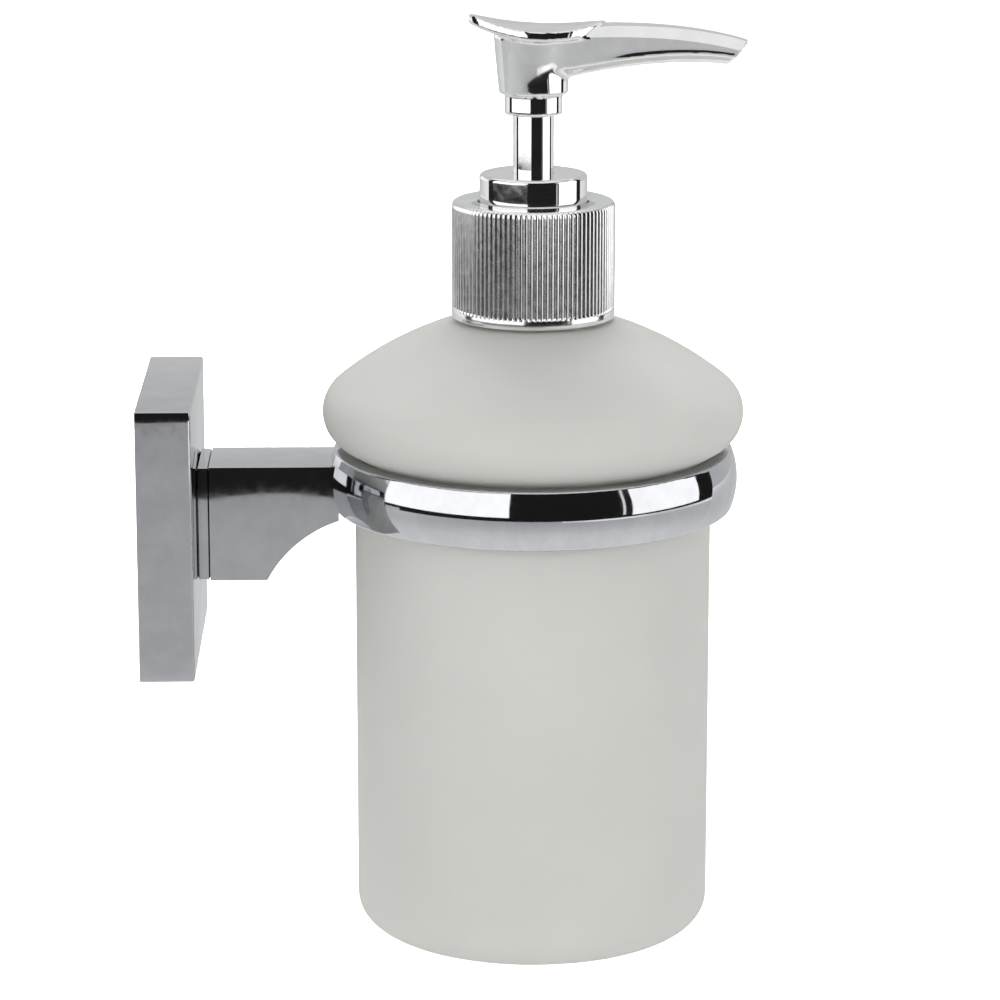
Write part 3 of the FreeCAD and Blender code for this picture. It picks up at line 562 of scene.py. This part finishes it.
def closure_profile(low, high, radius):
    """(radius, height, share of the ribs' depth) from the bore up the outside to the inside of the lid."""
    bore = 14.45 * MM
    lid = 0.8 * MM
    hole = 10.2 * MM
    hole_edge = 0.2 * MM
    top_edge = 1.0 * MM
    rim = 1.7 * MM
    rim_foot = 0.25 * MM
    rim_edge = 0.15 * MM
    crown = 0.05 * MM
    ribs_low = low + rim
    ribs_full = ribs_low + 0.3 * MM
    # The rim bulges by the crown. The ribs start just above it, and run out over the top edge.
    profile = [(bore, low, 0), (radius - rim_foot, low, 0)]
    for inward, down in reversed(edge_arc(rim_edge)):
        profile.append((radius - crown - inward, low + down, 0))
    for share in spaced(0.15, 1.0, 8):
        profile.append((radius - crown * (2 * share - 1) ** 2, low + rim * share, 0))
    profile += [(radius, ribs_low + 0.1 * MM, 0.7), (radius, ribs_full, 1.0)]
    profile += [(radius, z, 1.0) for z in crowded(ribs_full, high - top_edge, 14)[1:]]
    for angle in spaced(0, math.pi / 2, 8)[1:]:
        drop = math.cos(angle)
        profile.append((radius - top_edge * (1 - drop), high - top_edge * (1 - math.sin(angle)), drop ** 2))
    profile += [(hole + hole_edge, high, 0), (hole, high - hole_edge, 0)]
    profile += [(hole, high - lid, 0), (bore, high - lid, 0)]
    return profile


def closure_shell():
    """Thin shell with a plain rim at the bottom, rounded ribs above it, and a lid with a round hole."""
    low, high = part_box("closure_shell")
    ribs = 96
    per_rib = 10
    depth = 0.28 * MM
    around = ribs * per_rib
    ridge = [abs(math.cos(math.pi * j / per_rib)) for j in range(around)]
    profile = closure_profile(low.z, high.z, (high.x - low.x) / 2)
    points = []
    for r, z, share in profile:
        for j in range(around):
            points.append(about_axis(r - depth * share * (1 - ridge[j]), 2 * math.pi * j / around, z))
    rings = len(profile)
    last = (rings - 1) * around
    faces = tube_faces(rings, around, closed_ends=False)
    faces += [(last + j, last + (j + 1) % around, (j + 1) % around, j) for j in range(around)]
    shell = mesh_object("closure_ribbed_shell", points, faces)
    satin = chrome_plastic("satin_chrome_on_plastic", low=0.115, high=0.165)
    return piece(shell, "closure", "chrome_plastic", "closure_shell", sharp=50, finish=satin)


# ---------------------------------------------------------------------------
# Return spring
# ---------------------------------------------------------------------------

def return_spring():
    """Wound wire whose end coils lie flat. Its faces wind inwards."""
    low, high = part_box("return_spring")
    wire_radius = 0.45 * MM
    coil_radius = 4.35 * MM
    turns = 8.0
    closed = 1.2
    around = 12
    steps = 480
    start = low.z + wire_radius
    end = high.z - wire_radius
    flat_rise = wire_radius * 2
    points = []
    for i in range(steps + 1):
        turn = turns * i / steps
        if turn < closed:
            z = start + flat_rise * turn
        elif turn > turns - closed:
            z = end - flat_rise * (turns - turn)
        else:
            share = (turn - closed) / (turns - 2 * closed)
            z = start + flat_rise * closed + (end - start - 2 * flat_rise * closed) * share
        angle = 2 * math.pi * turn
        for j in range(around):
            roll = 2 * math.pi * j / around
            outward = wire_radius * math.cos(roll)
            upward = wire_radius * math.sin(roll)
            points.append(about_axis(coil_radius + outward, angle, z + upward))
    wound = mesh_object("wound_spring", points, tube_faces(steps + 1, around))
    spring = piece(wound, "pump", "steel", "return_spring")
    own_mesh(spring)
    return spring


# ---------------------------------------------------------------------------
# Pump head: one smooth skin, given as a formula whose zero is the surface
# ---------------------------------------------------------------------------

# Lengths in this section are millimetres: x across, out along the spout from the bottle's axis, z up.

def soft_max(a, b, blend):
    """The larger of two distances, with the edge between them rounded over about this length."""
    h = np.maximum(blend - np.abs(a - b), 0) / blend
    return np.maximum(a, b) + h * h * blend / 4


def soft_min(a, b, blend):
    return -soft_max(-a, -b, blend)


def curve(places, values, at):
    """A smooth curve through the values at the places."""
    return np.polyval(np.polyfit(places, values, len(places) - 1), at)


def barrel_form(x, out, z):
    """Round barrel over a narrower boss. It flares from its foot at the back, and only higher up in front."""
    radius = np.hypot(x, out)
    foot = 78.6
    top = 89.6
    front_start = 83.0
    back_flare = 0.091
    front_flare = 0.11
    # 0 at the back of the barrel and 1 at its front, changing over across the axis.
    front = np.clip(0.5 + out / 8, 0, 1)
    front_rise = soft_max(z - front_start, 0 * z, 2.0)
    flare = (1 - front) * back_flare * (z - foot) + front * front_flare * front_rise
    foot_radius = 6.3
    barrel = soft_max(radius - (foot_radius + flare), foot - z, 0.5)
    barrel = soft_max(barrel, z - top, 0.8)
    boss_radius = 5.3
    boss_foot = 74.8
    boss_top = 80
    boss = soft_max(radius - boss_radius, boss_foot - z, 0.5)
    boss = np.maximum(boss, z - boss_top)
    return np.minimum(barrel, boss)


def dish(out):
    """Height of the pad's dished top, lowest a little in front of the bottle's axis."""
    radius = 40.0
    lowest = 2.55
    level = 90.4
    return level + radius - np.sqrt(radius ** 2 - (out - lowest) ** 2)


def arch(out):
    """Height of the spout's top."""
    return curve((0, 13, 26, 39), (90.9, 91.25, 90.65, 88.1), out)


def shoulder_line(out):
    """Half width and height of the edge between the spout's side and its shoulder."""
    return 5.4 - 0.045 * out, arch(out) - 2.0


def tip_form(out, z):
    """The slanting plane that cuts the spout off."""
    slant = math.radians(41)
    tip_out = 37.1
    tip_level = 86.0
    return (out - tip_out) * math.cos(slant) - (z - tip_level) * math.sin(slant)


def spout_form(x, out, z):
    """Slim arch: a crowned top, sides that lean in downwards, and a bevelled underside."""
    under_pad = dish(np.clip(out, -12, 20)) - 0.4
    top = soft_min(arch(out), under_pad, 0.3)
    # Behind this place, inside the barrel, the underside stays level.
    start = np.maximum(out, 6.6)
    under = curve((5, 15, 25, 36), (81.3, 83.2, 84.15, 83.7), start)
    edge = curve((5, 15, 25, 36), (83.6, 85.0, 85.8, 85.1), start)
    half, widest = shoulder_line(out)
    # The sides turn out again just above the bevel, in a lip that fades in along the first part of the spout.
    fade = np.clip((out - 10) / 8, 0, 1)
    lip = 0.05 * np.clip(edge + 1.5 - z, 0, 2.0) ** 2 * fade
    lean = 0.115
    shoulder_slope = 0.8
    bevel_slope = 1.1
    bevel_inset = 0.3
    roof_radius = 22
    floor_radius = 30
    root = 2.5
    across = np.abs(x)
    sides = across - (half - lean * (widest - z) + lip)
    # 1.28 and 1.5 are about the lengths of these two gradients, so that the values are distances.
    shoulders = (across - (half - shoulder_slope * (z - widest))) / 1.28
    bevel = (across - (half - bevel_inset) + (edge - z) * bevel_slope) / 1.5
    roof = z - top + x * x / (2 * roof_radius)
    floor = under - z + x * x / (2 * floor_radius)
    form = np.maximum(soft_max(shoulders, roof, 0.8), sides)
    form = soft_max(form, bevel, 0.25)
    form = soft_max(form, floor, 0.8)
    form = soft_max(form, root - out, 0.5)
    return soft_max(form, tip_form(out, z), 0.35)


def pad_form(x, out, z):
    """Leaf pointed at both ends, dished from front to back, with a raised rim round it."""
    thick = 1.9
    half_length = 12.45
    half_width = 7.6
    centre = 0.55
    rim_height = 0.1
    hollow_depth = 0.25
    hollow_reach = 4
    side_radius = (half_length ** 2 + half_width ** 2) / (2 * half_width)
    leaf = np.hypot(np.abs(x) + side_radius - half_width, out - centre) - side_radius
    rim = dish(np.clip(out, -15, 20)) + rim_height
    hollow = hollow_depth * np.clip(-leaf / hollow_reach, 0, 1)
    over = z - (rim - hollow)
    below = rim - thick - z
    form = soft_max(leaf, over, 0.5)
    return soft_max(form, below, 0.6)


def hollow_form(x, out, z):
    """The bore for the stem's sleeve, the room for the core above it, and the channel through the spout."""
    bore_radius = 3.75
    bore_top = 77.1
    room_radius = 4.65
    room_foot = 77
    room_top = 88.4
    channel_radius = 1.65
    channel_level = 86.4
    radius = np.hypot(x, out)
    bore = np.maximum(radius - bore_radius, z - bore_top)
    room = np.maximum(np.maximum(radius - room_radius, room_foot - z), z - room_top)
    channel = np.maximum(np.hypot(x, z - channel_level) - channel_radius, -out)
    return np.minimum(np.minimum(bore, room), channel)


def head_form(points):
    """The whole head. It is below zero inside the chrome shell."""
    x, out, z = points[:, 0], points[:, 1], points[:, 2]
    body = soft_min(barrel_form(x, out, z), spout_form(x, out, z), 1.0)
    body = soft_min(body, pad_form(x, out, z), 0.5)
    return soft_max(body, -hollow_form(x, out, z), 0.12)


def slope(form, points):
    """The form's gradient at each point."""
    step = 0.01
    parts = []
    for axis in range(3):
        shift = np.zeros(3)
        shift[axis] = step
        parts.append((form(points + shift) - form(points - shift)) / (2 * step))
    return np.stack(parts, axis=1)


def onto(form, points, turns=6):
    """Points moved onto the surface of the form."""
    least_size = 0.05
    longest_move = 0.15
    for _ in range(turns):
        gradient = slope(form, points)
        size = np.maximum((gradient ** 2).sum(axis=1), least_size)
        move = gradient * (form(points) / size)[:, None]
        points = points - np.clip(move, -longest_move, longest_move)
    return points


def skin(form, low, high, step):
    """A mesh of the form's surface: one point in each crossed cell, and a face round each crossed edge."""
    counts = [int(round((b - a) / step)) + 1 for a, b in zip(low, high)]
    axes = [a + step * np.arange(n) for a, n in zip(low, counts)]
    grid = np.stack(np.meshgrid(*axes, indexing="ij"), axis=-1)
    values = form(grid.reshape(-1, 3)).reshape(counts)
    inside = values < 0
    total = 0
    for i, j, k in itertools.product((0, 1), repeat=3):
        total = total + inside[i:counts[0] - 1 + i, j:counts[1] - 1 + j, k:counts[2] - 1 + k].astype(int)
    crossed = (total > 0) & (total < 8)
    number = -np.ones(crossed.shape, int)
    number[crossed] = np.arange(crossed.sum())
    cells = np.argwhere(crossed)
    points = np.array(low) + (cells + 0.5) * step
    faces = []
    for axis in range(3):
        one, two = [a for a in range(3) if a != axis]
        here = np.take(inside, range(counts[axis] - 1), axis)
        there = np.take(inside, range(1, counts[axis]), axis)
        for flip in (False, True):
            edges = np.argwhere((here & ~there) if flip else (~here & there))
            ring = []
            for a, b in ((-1, -1), (0, -1), (0, 0), (-1, 0)):
                cell = edges.copy()
                cell[:, one] += a
                cell[:, two] += b
                ring.append(number[tuple(cell.T)])
            ring = np.stack(ring, axis=1)
            # In the form's own coordinates every face winds so that its normal points outwards.
            faces.append(ring if flip == (axis != 1) else ring[:, ::-1])
    return points, np.concatenate(faces)


def relaxed(points, faces, share=0.5):
    """Each point moved part of the way to the middle of its neighbours."""
    total = np.zeros_like(points)
    count = np.zeros(len(points))
    for a, b in ((0, 1), (1, 2), (2, 3), (3, 0)):
        for i, j in ((a, b), (b, a)):
            np.add.at(total, faces[:, i], points[faces[:, j]])
            np.add.at(count, faces[:, i], 1)
    return points + (total / count[:, None] - points) * share


def creased(points):
    """Points beside the spout's shoulder line moved onto it, so that it is a true edge.

    The line runs where the spout is clear of the barrel, the pad and its own cut-off end.
    """
    reach = 0.2
    x, out, z = points[:, 0], points[:, 1], points[:, 2]
    half, level = shoulder_line(out)
    clear = (barrel_form(x, out, z) > 1.1) & (pad_form(x, out, z) > 0.5) & (tip_form(out, z) < -0.4)
    near = clear & (np.hypot(np.abs(x) - half, z - level) < reach)
    moved = points.copy()
    moved[near, 0] = np.sign(x[near]) * half[near]
    moved[near, 2] = level[near]
    return moved


def merged(thing, distance):
    """Points closer together than this become one."""
    mesh = bmesh.new()
    mesh.from_mesh(thing.data)
    bmesh.ops.remove_doubles(mesh, verts=mesh.verts, dist=distance)
    mesh.to_mesh(thing.data)
    mesh.free()
    return thing


def pump_head():
    low = (-8.4, -13.2, 74.0)
    high = (8.4, 40.6, 94.1)
    cell = 0.3
    points, faces = skin(head_form, low, high, cell)
    points = onto(head_form, points)
    for _ in range(4):
        points = onto(head_form, relaxed(points, faces), turns=3)
    points = creased(points)
    # The spout points towards -Y. This mirrors the form, so the placed faces wind inwards.
    placed = [(AXIS_X + x * MM, AXIS_Y - out * MM, z * MM) for x, out, z in points]
    closest = 0.12 * MM
    head = merged(mesh_object("pump_head", placed, faces.tolist()), closest)
    return piece(head, "head", "chrome_plastic", "actuator_shell", sharp=36)


wall_cover()
arm()
closure_shell()
return_spring()
pump_head()


# ---------------------------------------------------------------------------
# Stage: floor, reflected cards, lights, world and camera
# ---------------------------------------------------------------------------

FLOOR = cad_low.z - 170 * MM
WHITE = (1, 1, 1)
COOL = (0.98, 0.99, 1.0)

# Directions from the bottle, in degrees from -X, where the camera is, towards -Y.
BEHIND = (116, 248)
AROUND = (BEHIND[1] - 360, BEHIND[0])
SIDE_END = 14


def paper():
    """The material of the real floor, which the camera sees."""
    finish = Finish("pale_paper")
    fibre = finish.noise(3 * MM, detail=4)
    finish.base(finish.colours(fibre, (0.3, 0.72, 0.72, 0.715), (0.7, 0.75, 0.75, 0.745)))
    finish.constants(Roughness=0.9, Specular_IOR_Level=0.1)
    return finish.material


def floor():
    half = 9.0
    corners = [(-half, -half, FLOOR), (half, -half, FLOOR), (half, half, FLOOR), (-half, half, FLOOR)]
    mesh_object("floor", corners, [(0, 1, 2, 3)], paper())


def glow(name, colour, strength):
    """A material that only gives light."""
    material = bpy.data.materials.new(name)
    material.use_nodes = True
    tree = material.node_tree
    tree.nodes.clear()
    emission = tree.nodes.new("ShaderNodeEmission")
    emission.inputs["Color"].default_value = (*colour, 1)
    emission.inputs["Strength"].default_value = strength
    output = tree.nodes.new("ShaderNodeOutputMaterial")
    tree.links.new(emission.outputs["Emission"], output.inputs["Surface"])
    return material


def reflected_only(thing):
    """The chrome mirrors this card, and nothing else sees it."""
    thing.visible_camera = False
    thing.visible_diffuse = False
    thing.visible_transmission = False
    thing.visible_shadow = False
    return thing


def card_strip(name, turn, sides, steps, material):
    """A strip of faces round the bottle. turn is (start, end), sides is the (radius, height) of each side."""
    points = []
    for i in range(steps + 1):
        angle = math.radians(turn[0] + (turn[1] - turn[0]) * i / steps)
        for radius, height in sides:
            points.append((AXIS_X - radius * math.cos(angle), AXIS_Y - radius * math.sin(angle), height))
    faces = [(2 * i, 2 * i + 1, 2 * i + 3, 2 * i + 2) for i in range(steps)]
    return reflected_only(mesh_object(name, points, faces, material))


def curved_card(name, turn, height, radius, material):
    """Upright card curved round the bottle."""
    return card_strip(name, turn, [(radius, level) for level in height], 24, material)


def floor_card(name, turn, reach, material):
    """A card over the floor, glowing with painted floor light for the chrome. reach is its (near, far)
    radius.
    """
    over_floor = FLOOR + 1 * MM
    return card_strip(name, turn, [(radius, over_floor) for radius in reach], 48, material)


def floor_glow(name, middle_glow, far_glow, side_glow):
    """Floor seen in the chrome, drawn as a glow with painted light on it.

    The glow is a painted pool of light: bright under the bottle and greyer with distance. Along Y it grows
    lighter again, with the square of the distance.
    """
    material = glow(name, COOL, 1.0)
    tree = material.node_tree
    place = tree.nodes.new("ShaderNodeTexCoord")
    shift = tree.nodes.new("ShaderNodeMapping")
    length = tree.nodes.new("ShaderNodeVectorMath")
    ramp = tree.nodes.new("ShaderNodeFloatCurve")
    shift.inputs["Location"].default_value = (-AXIS_X, -AXIS_Y, -FLOOR)
    length.operation = "LENGTH"
    tree.links.new(place.outputs["Object"], shift.inputs["Vector"])
    tree.links.new(shift.outputs["Vector"], length.inputs[0])
    tree.links.new(length.outputs["Value"], ramp.inputs["Value"])
    # Each point is a distance in metres from the place under the bottle, and the glow there.
    points = ramp.mapping.curves[0].points
    points[0].location = (0.12, 0.95)
    points[1].location = (1.0, far_glow)
    points.new(0.35, 0.86)
    points.new(0.65, middle_glow)
    ramp.mapping.update()
    parts = tree.nodes.new("ShaderNodeSeparateXYZ")
    square = tree.nodes.new("ShaderNodeMath")
    square.operation = "MULTIPLY"
    add = tree.nodes.new("ShaderNodeMath")
    add.operation = "MULTIPLY_ADD"
    add.inputs[1].default_value = side_glow
    tree.links.new(shift.outputs["Vector"], parts.inputs["Vector"])
    tree.links.new(parts.outputs["Y"], square.inputs[0])
    tree.links.new(parts.outputs["Y"], square.inputs[1])
    tree.links.new(square.outputs["Value"], add.inputs[0])
    tree.links.new(ramp.outputs["Value"], add.inputs[2])
    emission = [n for n in tree.nodes if n.type == "EMISSION"][0]
    tree.links.new(add.outputs["Value"], emission.inputs["Strength"])
    return material


def floor_cards(side, front, back):
    """Painted floor light all round, as far as these distances on the wall's side, in front and behind."""
    near = 0.10
    # Glows with painted floor light for the chrome to mirror, bright near the bottle and greyer far away.
    grey = floor_glow("card_floor_painted_light", middle_glow=0.64, far_glow=0.53, side_glow=0.13)
    paler = floor_glow("card_floor_back_painted_light", middle_glow=0.70, far_glow=0.63, side_glow=0.13)
    floor_card("card_floor_side", (AROUND[0], SIDE_END), (near, side), grey)
    floor_card("card_floor_front", (SIDE_END, AROUND[1]), (near, front), grey)
    floor_card("card_floor_back", BEHIND, (near, back), paler)


def ceiling_card():
    level = 2.2
    half = 4.0
    corners = [(-half, -half, level), (-half, half, level), (half, half, level), (half, -half, level)]
    white = glow("card_ceiling_white", WHITE, 0.95)
    reflected_only(mesh_object("card_ceiling", corners, [(0, 1, 2, 3)], white))


def cards():
    """What the chrome mirrors: painted floor light and a pale back, and a dark room with two soft boxes and a
    slit.
    """
    room = 1.26
    inside = room - 0.03
    back = 2.6
    floor_cards(side=room + 0.02, front=1.08, back=back)
    curved_card("card_back", BEHIND, (FLOOR, 3.0), back, glow("card_back_grey", COOL, 0.62))
    ceiling_card()
    upright = (
        # name, turn, height, radius, colour, glow
        ("card_room", AROUND, (FLOOR, 1.30), room, WHITE, 0.015),
        ("card_back_left", (205, BEHIND[1]), (FLOOR, 0.8), back - 0.1, WHITE, 1.1),
        ("card_low_left", (AROUND[0], -80), (FLOOR, -0.185), inside, COOL, 0.6),
        ("card_box_left", (-97, -14.5), (-0.125, 1.0), inside, WHITE, 1.6),
        ("card_box_right", (54, 102), (-0.20, 0.9), inside, WHITE, 1.6),
        ("card_slit", (48.3, 49.8), (-0.17, 0.9), inside, WHITE, 1.1),
    )
    for name, turn, height, radius, colour, strength in upright:
        curved_card(name, turn, height, radius, glow(name + "_glow", colour, strength))


def soft_light(name, place, target, width, power):
    """A round area light that the camera and the chrome don't see."""
    data = bpy.data.lights.new(name, "AREA")
    data.shape = "DISK"
    data.size = width
    data.energy = power
    light = bpy.data.objects.new(name, data)
    light.location = place
    light.rotation_euler = (Vector(target) - Vector(place)).to_track_quat("-Z", "Y").to_euler()
    light.visible_camera = False
    light.visible_glossy = False
    bpy.context.scene.collection.objects.link(light)
    return light


def lights():
    """Three lights on the bottle from the camera's side, and a pool of light on the floor behind it."""
    bottle = (AXIS_X, AXIS_Y, 0)
    soft_light("key", (-0.9, -0.9, 1.3), bottle, width=1.0, power=0.5)
    soft_light("fill_left", (-1.0, 0.95, 0.25), bottle, width=1.0, power=7.8)
    soft_light("fill_right", (-1.0, -1.05, 0.25), bottle, width=1.0, power=7.4)
    back = soft_light("back", (1.6, -0.2, 1.6), (1.6, -0.2, FLOOR), width=2.0, power=42)
    back.data.spread = math.radians(90)


def world():
    """Even, faintly cool light from all round."""
    made = bpy.data.worlds.new("studio")
    made.use_nodes = True
    background = made.node_tree.nodes["Background"]
    background.inputs["Color"].default_value = (0.985, 0.995, 1.0, 1)
    background.inputs["Strength"].default_value = 0.8
    bpy.context.scene.world = made


def camera():
    """A long lens that looks across the wall from -X, a little from above."""
    distance = 744 * MM
    elevation = math.radians(13.7)
    turn = math.radians(-1.4)
    middle_of_view = Vector((AXIS_X, AXIS_Y + 6.1 * MM, 2.55 * MM))
    level = math.cos(elevation)
    look = Vector((level * math.cos(turn), level * math.sin(turn), -math.sin(elevation)))
    data = bpy.data.cameras.new("camera")
    data.sensor_width = 36
    data.lens = 144
    made = bpy.data.objects.new("camera", data)
    made.location = middle_of_view - look * distance
    made.rotation_mode = "QUATERNION"
    made.rotation_quaternion = look.to_track_quat("-Z", "Y")
    bpy.context.scene.collection.objects.link(made)
    bpy.context.scene.camera = made


floor()
cards()
lights()
world()
camera()
bpy.context.scene.view_settings.view_transform = "Standard"
